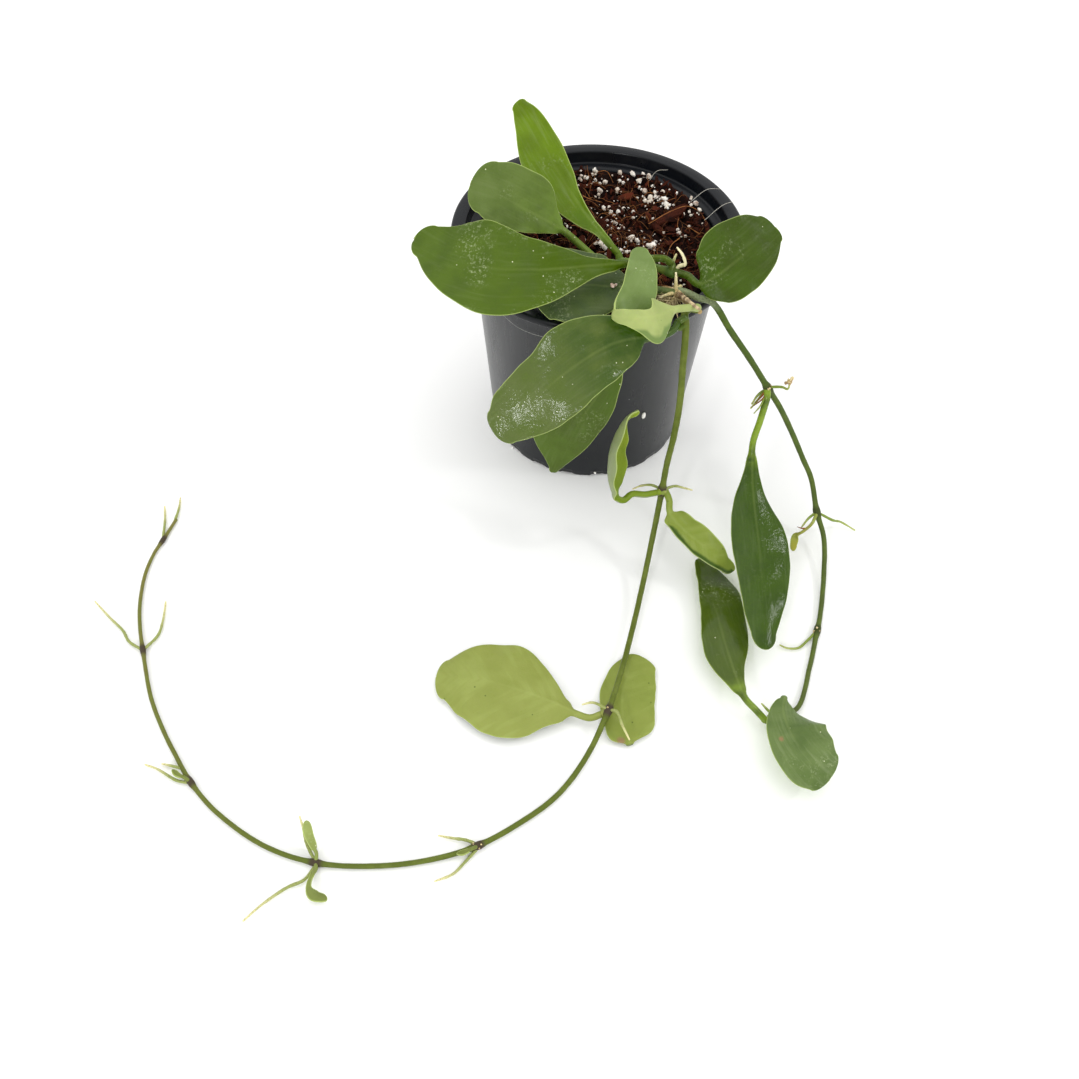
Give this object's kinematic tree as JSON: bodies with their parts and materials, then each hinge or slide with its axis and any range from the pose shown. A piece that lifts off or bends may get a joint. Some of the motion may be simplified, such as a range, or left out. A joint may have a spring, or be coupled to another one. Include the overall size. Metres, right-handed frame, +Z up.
{
  "type": "potted hoya plant",
  "caption": "Trailing hoya with leathery paddle leaves, planted in a black moulded nursery pot of bark and perlite mix; its runners drop over the rim and lie along the surface.",
  "frame": {"origin": "middle of the pot's base, on the surface the pot stands on", "axes": "+Z up the pot; the runners trail towards -Y, the long one curling round to -X"},
  "size_m": [0.2931, 0.2763, 0.127],
  "materials": {
    "pot_plastic": "satin",
    "soil_mix": "matte",
    "woody_stem": "matte",
    "green_stem": "satin",
    "root_skin": "matte",
    "leaf_mature": "satin",
    "leaf_fresh": "satin",
    "leaf_pale": "satin",
    "leaf_young": "satin"
  },
  "bodies": {
    "root": {"pot": "pot_plastic", "soil": "soil_mix", "stem_crown": "woody_stem", "stem_back": "green_stem", "runner_long": "green_stem", "runner_short": "green_stem", "aerial_root": "root_skin", "leaf_upright": "leaf_fresh", "leaf_round": "leaf_mature", "leaf_left": "leaf_mature", "leaf_under": "leaf_mature", "leaf_rolled": "leaf_pale", "leaf_front": "leaf_mature", "leaf_front_low": "leaf_mature", "leaf_right": "leaf_mature", "leaf_folded": "leaf_pale", "leaf_hanging": "leaf_pale", "leaf_flat": "leaf_pale", "leaf_notched": "leaf_pale", "leaf_long": "leaf_mature", "leaf_beneath": "leaf_mature", "leaf_end": "leaf_mature", "bud_leaf_first": "leaf_young", "bud_leaf_upper": "leaf_young", "bud_leaf_lower": "leaf_young", "bud_leaf_far": "leaf_young", "bud_leaf_yellow": "leaf_young"}
  },
  "joints": []
}
